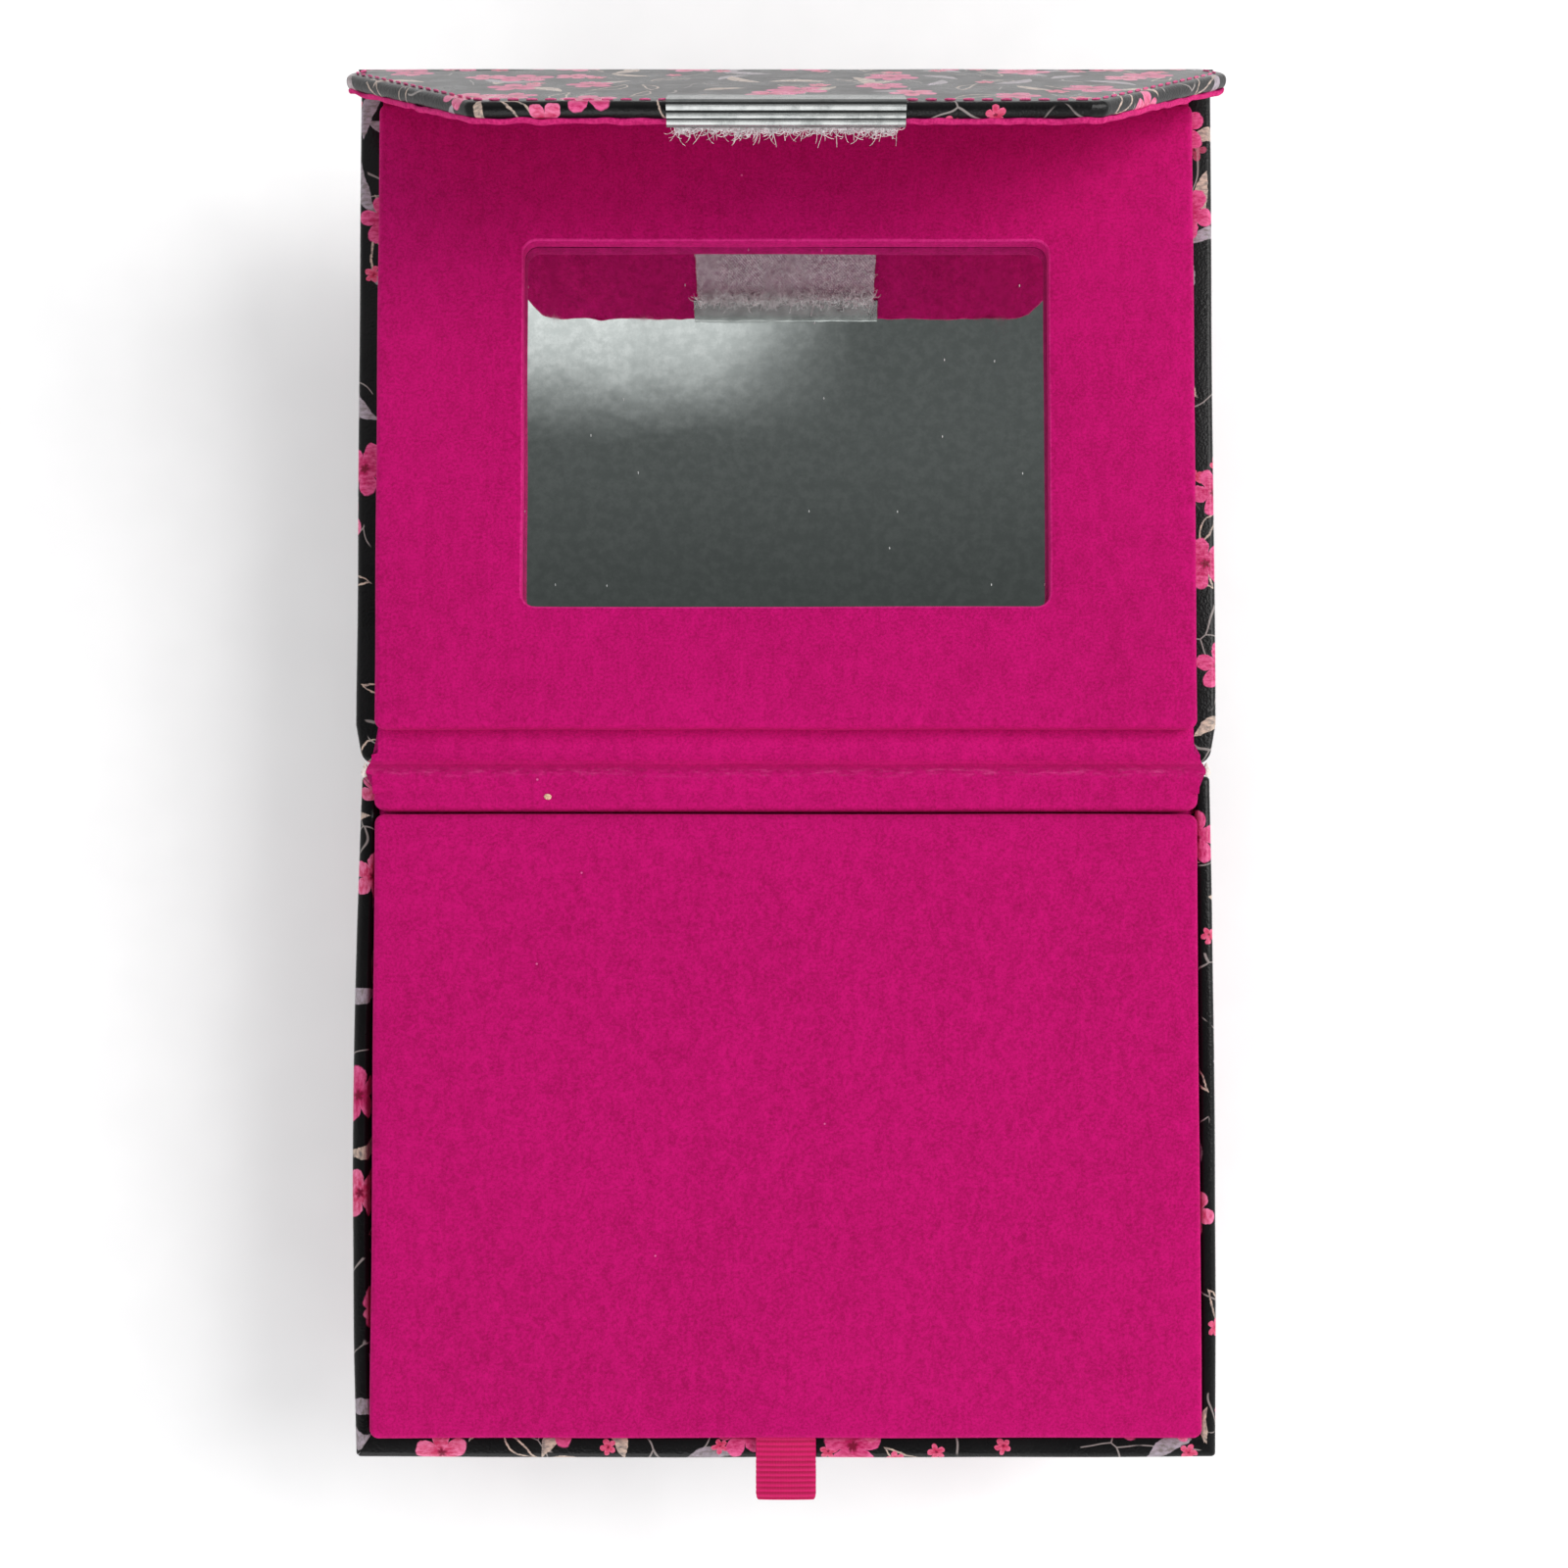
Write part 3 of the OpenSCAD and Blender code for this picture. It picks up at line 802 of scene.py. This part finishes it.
flakes = []
for side in (-1, 1):
    for dx, dy, dz, width, length in ((88.2, -0.2, -0.5, 0.7, 1.0), (88.6, 1.2, -2.6, 0.45, 0.9),
                                      (88.0, 0.7, -0.9, 0.35, 0.5)):
        place = Vector((side * dx * MM, crease_low.y + dy * MM, crease_low.z + dz * MM))
        flakes.append(crumb(place, Vector((width, length, 0.35)) * MM, side * dx))
add_piece("worn_fold_ends", join_meshes("worn_fold_ends", flakes), worn_paper, "base", slot="print_cover")
speck_at = Vector((roll_low.x + 37 * MM, roll_high.y - 4.9 * MM, roll_high.z + 0.05 * MM))
speck = join_meshes("bald_speck", [crumb(speck_at, Vector((0.75, 0.65, 0.22)) * MM, 5.0)])
add_piece("bald_speck", speck, bald_backing, "base", slot="velvet")


# ---- inner lid and ribbon

low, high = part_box("inner_lid")
mesh = slab("inner_lid", rectangle(low, high), low.z, high.z, 2.0 * MM, 1.3 * MM, 0.6 * MM, crown=0.00025)
ruffle(mesh, 0.0002, 0.035, 4.0)
inner_lid = add_piece("inner_lid_velvet", mesh, velvet, "inner_lid", "inner_lid", "velvet")

low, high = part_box("ribbon_loop")
anchor_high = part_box("ribbon_anchor")[1]
ply = 0.42 * MM
top_z, under_z = high.z - ply / 2, low.z + ply / 2
nose = low.y + 0.3 * MM
path = [(anchor_high.y + 0.3 * MM, top_z)]
path += [(anchor_high.y + (nose - anchor_high.y) * k / 74, top_z) for k in range(1, 75)]
bend = (top_z - under_z) / 2
path += [(nose - bend * sin(a), (top_z + under_z) / 2 + bend * cos(a))
         for a in (pi * k / 8 for k in range(1, 8))]
path += [(nose + (ribbon_fold.y + 2.5 * MM - nose) * k / 60, under_z) for k in range(61)]
width = (high.x - low.x) / 2
nose_taper = [0.45 * MM * max(0.0, 1 - (y - low.y) / (0.9 * MM)) ** 2 for y, z in path]
mesh = strip("ribbon", path, [width - cut for cut in nose_taper], ply, columns=30)
for v in mesh.vertices:
    rib = sin(2 * pi * v.co.y / RIB_PITCH)
    depth = 0.16 * MM * (1.0 if v.co.y < ribbon_fold.y + 1.5 * MM else 0.3)
    inner = min(1.0, max(0.0, (width - abs(v.co.x)) / (0.9 * MM)))
    side = 1 if v.co.z > (top_z + under_z) / 2 else -1
    v.co.z -= side * rib * depth * (0.35 + 0.65 * inner)
    v.co.x += math.copysign(0.06 * MM, v.co.x) * rib * (1 - inner)
    v.co.z += 0.25 * MM * cos(v.co.x / width * 1.4) - 0.1 * MM
ribbon = add_piece("ribbon_pull", mesh, ribbon_cloth, replaces=("ribbon_loop", "ribbon_anchor"))
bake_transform(ribbon)


# ---- lid

press_x, press_y = 8 * MM, 9 * MM
mesh = slab("lid_board", rectangle(lid_low, lid_high), lid_low.z, lid_high.z, 2.2 * MM, 1.3 * MM,
            sheet=(0.07, -0.05))
for v in mesh.vertices:
    # The rear corners are pressed in a little by the crease
    corner = max(0.0, 1 - (v.co.y - lid_low.y) / press_y)
    corner *= max(0.0, 1 + (abs(v.co.x) - lid_high.x) / press_x)
    v.co.x -= math.copysign(1.8 * MM * corner ** 1.5, v.co.x)
ruffle(mesh, 0.00022, 0.04, 9.0)
add_piece("lid_board_cover", mesh, print_cover, "lid", "lid_board")

# The pad: velvet over a thin board, wrapped round the edge of the mirror's window
glass_low, glass_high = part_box("mirror_glass")
rebate = Vector((4.7, 4.7, 0)) * MM
window_low, window_high = glass_low + rebate, glass_high - rebate
window = rectangle(window_low, window_high)
outer = rectangle(pad_low, pad_high)
window_r, pad_edge, hem = 2.8 * MM, 1.4 * MM, 0.4 * MM
top, floor_z = pad_high.z, pad_low.z
per_side = 34


def ring_with(corners, inset, radius, z, arcs=6):
    """Points round a rectangle with the same count on each side, so that two rectangles can be joined."""
    sharp = outline(corners, inset, radius, 10.0, arcs)
    points = []
    for i in range(4):
        arc = sharp[i * (arcs + 1):(i + 1) * (arcs + 1)]
        following = sharp[((i + 1) * (arcs + 1)) % len(sharp)]
        points += arc + [arc[-1].lerp(following, k / per_side) for k in range(1, per_side)]
    return [Vector((p.x, p.y, z)) for p in points]


rings = [ring_with(outer, 0.3 * MM, 2 * MM, floor_z)]
for inset, drop, _ in reversed(edge_profile(pad_edge)):
    rings.append(ring_with(outer, inset, 2 * MM, top - drop))
crown = 0.22 * MM
for inset, share in ((3 * MM, 0.7), (7 * MM, 1.0)):
    rings.append(ring_with(outer, pad_edge + inset, 2 * MM, top + crown * share))
for inset, share in ((5 * MM, 1.0), (1.5 * MM, 0.5)):
    rings.append(ring_with(window, -hem - inset, window_r, top + crown * share))
for inset, drop, _ in edge_profile(hem):
    rings.append(ring_with(window, -inset, window_r, top - drop))
rings.append(ring_with(window, 0.0, window_r, glass_high.z + 1.6 * MM))
rings.append(ring_with(window, -0.15 * MM, window_r, glass_high.z + 0.1 * MM))
points, faces = skin(rings)
mesh = mesh_of("lid_pad", points, faces)
ruffle(mesh, 0.00016, 0.03, 2.0)
lid_pad = add_piece("lid_pad_velvet", mesh, velvet, "lid", "lid_pad", "velvet")
# A lighter velvet on the faces along the window's edge: a painted highlight where the pile catches the light
lid_pad.data.materials.append(rim_highlight_velvet)
window_mid, window_half = (window_low + window_high) / 2, (window_high - window_low) / 2
for face in lid_pad.data.polygons:
    past = [abs(face.center[i] - window_mid[i]) - window_half[i] + window_r for i in range(2)]
    away = math.hypot(max(past[0], 0), max(past[1], 0)) + min(max(past), 0) - window_r
    if away < hem and face.center.z > top - hem:
        face.material_index = 1


# ---- flap

flap_l = 57 * MM
flap_all = 3.8 * MM
root, full = 2 * MM, 12 * MM
tip = 57 * MM
flap_half = lid_high.x
neck = flap_half - 2.6 * MM
right_corners = [(neck, root), (flap_half, full * 0.75), (flap_half, full), (tip + 2 * MM, flap_l - 1.2 * MM),
                 (tip - 1 * MM, flap_l)]
flap_corners = right_corners + [(-x, s) for x, s in reversed(right_corners)]
# A slab drawn flat on X and Y, stood up on the flap: Y becomes the flap's length, Z its thickness
stand = flap_frame @ Matrix(((1, 0, 0, 0), (0, 0, 1, 0), (0, 1, 0, 0), (0, 0, 0, 1)))


def flap_slab(name, inset, low, high, radius, edge, sheet=None, spacing=0.006):
    mesh = slab(name, moved_in(flap_corners, inset)[0], low, high, radius, edge, sheet=sheet, spacing=spacing,
                insets=(0.002,))
    mesh.flip_normals()
    return mesh


face_n = flap_all / 2  # the printed face, and the lining's face at -face_n
mesh = flap_slab("flap_board", 0.0, face_n - 3 * MM, face_n, 2.6 * MM, 1.35 * MM, sheet=(0.63, 0.202))
ruffle(mesh, 0.0002, 0.03, 6.0)
add_piece("flap_board_cover", mesh, print_cover, "flap", "flap_board", at=stand)
mesh = flap_slab("flap_lining", 0.2 * MM, -face_n, 1.15 * MM - face_n, 2.4 * MM, 0.5 * MM, spacing=0.0012)
ruffle(mesh, 0.0005, 0.004, 8.0)
lining = add_piece("flap_lining_velvet", mesh, velvet, "flap", "flap_lining", "velvet", at=stand)
# The cut edge of the lining, with its frayed pile, is given a lighter velvet: a painted highlight along the
# edge
lining.data.materials.append(edge_highlight_velvet)
for face in lining.data.polygons:
    if abs((flap_frame.to_3x3().inverted() @ face.normal).y) < 0.8:
        face.material_index = 1

# A row of stitches just inside the flap's edge
row = outline(flap_corners, 2.4 * MM, 3 * MM, 0.0007, 8)
row = [p for p in row if p.y > full * 0.5]
row.sort(key=lambda p: math.atan2(p.x, -(p.y - full * 0.4)))
stitches = []
run, on, dash = 0.0, True, []
for a, b in zip(row, row[1:]):
    run += (b - a).length
    place = Vector((a.x, a.y, face_n + 0.12 * MM))
    if on:
        dash.append(place)
    if run > (2.4 if on else 0.5) * MM:
        if on and len(dash) > 1:
            stitches.append(tube(dash, 0.24 * MM))
        run, on, dash = 0.0, not on, []
mesh = join_meshes("flap_stitching", stitches)
add_piece("flap_stitching", mesh, thread, "flap", slot="print_cover", at=stand)

# The clip: a U over the flap's front edge, with a raised lip and fine grooves
clip_half, clip_d, wall = 22 * MM, 5.6 * MM, 0.5 * MM
clip_side, clip_end = face_n + wall, flap_l + wall
corner_r = 0.9 * MM
section = []


def dent(f, middle, half_width):
    return math.exp(-((f - middle) / half_width) ** 2)


for k in range(41):
    f = k / 40
    relief = 0.1 * dent(f, 0.1, 0.08) - 0.07 * dent(f, 0.5, 0.035) - 0.07 * dent(f, 0.82, 0.035)
    section.append((clip_side + relief * MM, flap_l - clip_d + (clip_d - 0.8 * MM) * f))
section += [(clip_side - corner_r + corner_r * cos(a), clip_end - corner_r + corner_r * sin(a))
            for a in quarter(5, 1)]
for k in range(1, 30):
    f = k / 30
    relief = 0.11 * dent(f, 0.3, 0.1) + 0.06 * dent(f, 0.74, 0.06)
    section.append(((clip_side - corner_r) * (1 - 2 * f), clip_end - relief * MM))
section += [(corner_r - clip_side - corner_r * sin(a), clip_end - corner_r + corner_r * cos(a))
            for a in quarter(5, 1)]
section += [(-clip_side, flap_l - 0.8 * MM - (clip_d - 0.8 * MM) * k / 4) for k in range(1, 5)]
section += [(-face_n, flap_l - clip_d), (-face_n, flap_l), (face_n, flap_l), (face_n, flap_l - clip_d)]
rings = [[Vector((x, n, s)) for n, s in section]
         for x in (-clip_half, -clip_half + 0.15 * MM, clip_half - 0.15 * MM, clip_half)]
points, faces = skin(rings)
count = len(section)
faces += [tuple(range(count)), tuple(reversed(range(len(points) - count, len(points))))]
mesh = mesh_of("edge_clip", points, faces)
mesh.flip_normals()
mesh.set_sharp_from_angle(angle=math.radians(40))
add_piece("edge_clip_reeded", mesh, clip_metal, "flap", "edge_clip", at=flap_frame)


def frizz(name, low, high, face, reach, count, seed, thickness):
    """Loose looped fibres over a patch on the plane n = face, from (x, s) low to high."""
    rng = random.Random(seed)
    parts = []
    for _ in range(count):
        path = [Vector((rng.uniform(low[0], high[0]), face, rng.uniform(low[1], high[1])))]
        heading = Vector((rng.uniform(-0.9, 0.9), -1, rng.uniform(-0.6, 0.6))).normalized()
        twist = Vector((rng.uniform(-1, 1), rng.uniform(-0.5, 0.5), rng.uniform(-1, 1))) * 0.7
        step = reach * rng.uniform(0.35, 1.0) / 7
        for _ in range(7):
            path.append(path[-1] + heading * step)
            heading = (heading + heading.cross(twist)).normalized()
        parts.append(tube(path, thickness, 3))
    return join_meshes(name, parts)


patch_half, patch_l, patch_t = 21 * MM, 17 * MM, 0.7 * MM
patch_top = flap_l - clip_d - 0.4 * MM
patch_low = patch_top - patch_l
mesh = slab("loop_patch", rectangle(Vector((-patch_half, patch_low)), Vector((patch_half, patch_top))),
            -face_n - patch_t, 0.1 * MM - face_n, 1.2 * MM, 0.25 * MM)
mesh.flip_normals()
add_piece("loop_patch_tape", mesh, loop_ground, "flap", "loop_patch", at=stand)
mesh = frizz("loop_fibres", (-patch_half, patch_low), (patch_half, patch_top), -face_n - patch_t,
             1.8 * MM, 1700, 11, 0.05 * MM)
add_piece("loop_fibres", mesh, fibre, "flap", slot="loop_tape", at=flap_frame)
mesh = frizz("loose_fibres", (-patch_half, patch_top - 1.5 * MM), (patch_half, patch_top + 0.6 * MM),
             -face_n - patch_t, 4.4 * MM, 820, 5, 0.06 * MM)
add_piece("loose_fibres", mesh, fibre, "flap", slot="loop_tape", at=flap_frame)

# The hook patch on the front wall, with short stiff bristles
hook_low, hook_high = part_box("hook_patch")
size = hook_high - hook_low
mesh = slab("hook_patch", rectangle(Vector((-size.x / 2, hook_low.z)), Vector((size.x / 2, hook_high.z))),
            -hook_high.y - 0.35 * MM, -hook_low.y, 1.2 * MM, 0.25 * MM)
facing = Matrix(((1, 0, 0, 0), (0, 0, -1, 0), (0, 1, 0, 0), (0, 0, 0, 1)))
add_piece("hook_patch_tape", mesh, hook_ground, "base", "hook_patch", at=facing)
bristles = []
bristle_columns, bristle_rows = 56, 22
rng = random.Random(3)
for i in range(bristle_columns):
    for k in range(bristle_rows):
        x = hook_low.x + size.x * (i + 0.5) / bristle_columns
        z = hook_low.z + size.z * (k + 0.5) / bristle_rows
        base = Vector((x, hook_low.y, z))
        lean = Vector((rng.uniform(-0.1, 0.1), 0, rng.uniform(-0.1, 0.1))) * MM
        bend = base + Vector((0, -0.35, 0)) * MM + lean
        bristles.append(tube([base, bend, bend + Vector((0, -0.05, 0.18)) * MM], 0.07 * MM, 3))
add_piece("hook_bristles", join_meshes("hook_bristles", bristles), fibre, "base", slot="hook_tape")


def on_flap(n, s):
    place = flap_frame @ Vector((0, n, s))
    return (place.y, place.z)


# The printed cover and the velvet lining across the flap's crease
out = 0.25 * MM
path = round_path([(fold_low.y - 3 * MM, fold_low.z - out), (fold_low.y + out, fold_low.z - out),
                   (fold_low.y + out, fold_low.z + 2.2 * MM)], 0.9 * MM, 6)
crease_cover = cloth("flap_crease_lid", path, flap_half - 0.8 * MM, cover_t, print_cover, "flap_crease",
                     sheet=(0.63, 0.15))
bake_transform(crease_cover)
path = round_path([(fold_low.y + out, fold_low.z + 1.9 * MM), (fold_low.y + out, fold_high.z + 0.2 * MM),
                   on_flap(face_n - 0.3 * MM, 2.4 * MM), on_flap(face_n - 0.2 * MM, 3.6 * MM)], 0.8 * MM, 6)
crease_flap = cloth("flap_crease_flap", path, flap_half - 1.0 * MM, cover_t, print_cover, sheet=(0.63, 0.155))
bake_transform(crease_flap)
path = [(y, lid_high.z + out) for y in (pad_high.y - 0.4 * MM, lid_high.y - 3 * MM, lid_high.y - 0.4 * MM)]
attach(cloth("flap_lining_lid", path, 86.3 * MM, lining_t, velvet, slot="velvet", wave=0.1 * MM), "lid")
path = round_path([(fold_high.y - 0.3 * MM, fold_high.z - 1.4 * MM), (fold_high.y - 0.35 * MM, fold_high.z),
                   on_flap(0.6 * MM - face_n, 2.4 * MM), on_flap(0.3 * MM - face_n, 3.6 * MM)], 0.7 * MM, 6)
lining_crease = cloth("flap_lining_crease", path, 86.5 * MM, lining_t, velvet, slot="velvet", wave=0.1 * MM)
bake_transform(lining_crease)


# ---- CAD nodes that stay

for name, material in (("underside_sheet", black_paper), ("bottom_board", greyboard),
                       ("inner_lid_backing", lining_paper), ("mirror_glass", mirror_face),
                       ("mirror_backing", black_paper)):
    node = nodes[name]
    node.data.materials.clear()
    node.data.materials.append(material)
    bevel = node.modifiers.new("edges", "BEVEL")
    bevel.width = 0.12 * MM
    bevel.segments = 3
    bevel.limit_method = "ANGLE"


# ---- floor, light, camera

floor_half = 4.0
corners = rectangle(Vector((-floor_half, -floor_half)), Vector((floor_half, floor_half)))
floor = put_in_scene("floor", mesh_of("floor", [(x, y, 0) for x, y in corners], [(0, 1, 2, 3)]))
floor.location.z = -0.2 * MM
floor_paint = make_plain("floor", rgb(246, 246, 247), rgb(250, 250, 251), 0.02, 0.7, grain=0.0)
floor_shader = floor_paint.node_tree.nodes["Principled BSDF"]
floor_shader.inputs["Emission Color"].default_value = (1, 1, 1, 1)
floor_shader.inputs["Emission Strength"].default_value = 0.12
floor.data.materials.append(floor_paint)

world = bpy.data.worlds.new("studio")
scene.world = world
world.use_nodes = True


def grey(level):
    return (level, level, level, 1)


# A dim ceiling, light walls, dimmer at the back, and one pale patch of ceiling behind the lid on the left
sky = Nodes(world.node_tree)
x, y, z = sky.split(sky.add("TexCoord").outputs["Generated"])
behind, aside = sky.math("DIVIDE", y, z), sky.math("DIVIDE", x, z)
patch = sky.times(sky.step(behind, 0.33, 0.43), sky.step(aside, 0.06, -0.08))
patch = sky.times(patch, sky.noise(None, 1 / 9))
ceiling = sky.mix(sky.step(behind, 0.2, 0.36), (0.092, 0.1, 0.098, 1), (0.15, 0.16, 0.158, 1))
ceiling = sky.mix(patch, ceiling, (1.75, 1.78, 1.78, 1))
walls = sky.mix(sky.step(y, -0.2, 0.5), grey(1.0), grey(0.72))
around = sky.mix(sky.step(z, 0.84, 0.9), walls, ceiling)
sky.add("OutputWorld", sky.add("Background", around, 0.8).outputs[0])


def area_light(name, place, target, size, power, tint=(1, 1, 1)):
    data = bpy.data.lights.new(name, "AREA")
    data.shape = "SQUARE"
    data.size, data.energy, data.color = size, power, tint
    lamp = put_in_scene(name, data)
    lamp.location = place
    lamp.rotation_euler = (Vector(target) - Vector(place)).to_track_quat("-Z", "Y").to_euler()


box_middle = (0, 0.07, 0.05)
area_light("key", (1.15, 0.45, 1.1), box_middle, 0.9, 17.5, (1.0, 0.99, 0.975))
area_light("fill", (-0.3, -1.4, 0.9), box_middle, 1.2, 11.0)

camera_data = bpy.data.cameras.new("camera")
camera = put_in_scene("camera", camera_data)
camera.location = (-0.0004, 0.036, 0.3722)
camera.rotation_euler = (math.radians(1.77), 0, 0)
camera_data.sensor_width = 36
camera_data.lens = 34.71
camera_data.shift_y = 0.0717
camera_data.clip_start = 0.01
camera_data.dof.use_dof = False
scene.camera = camera
scene.view_settings.view_transform = "Standard"
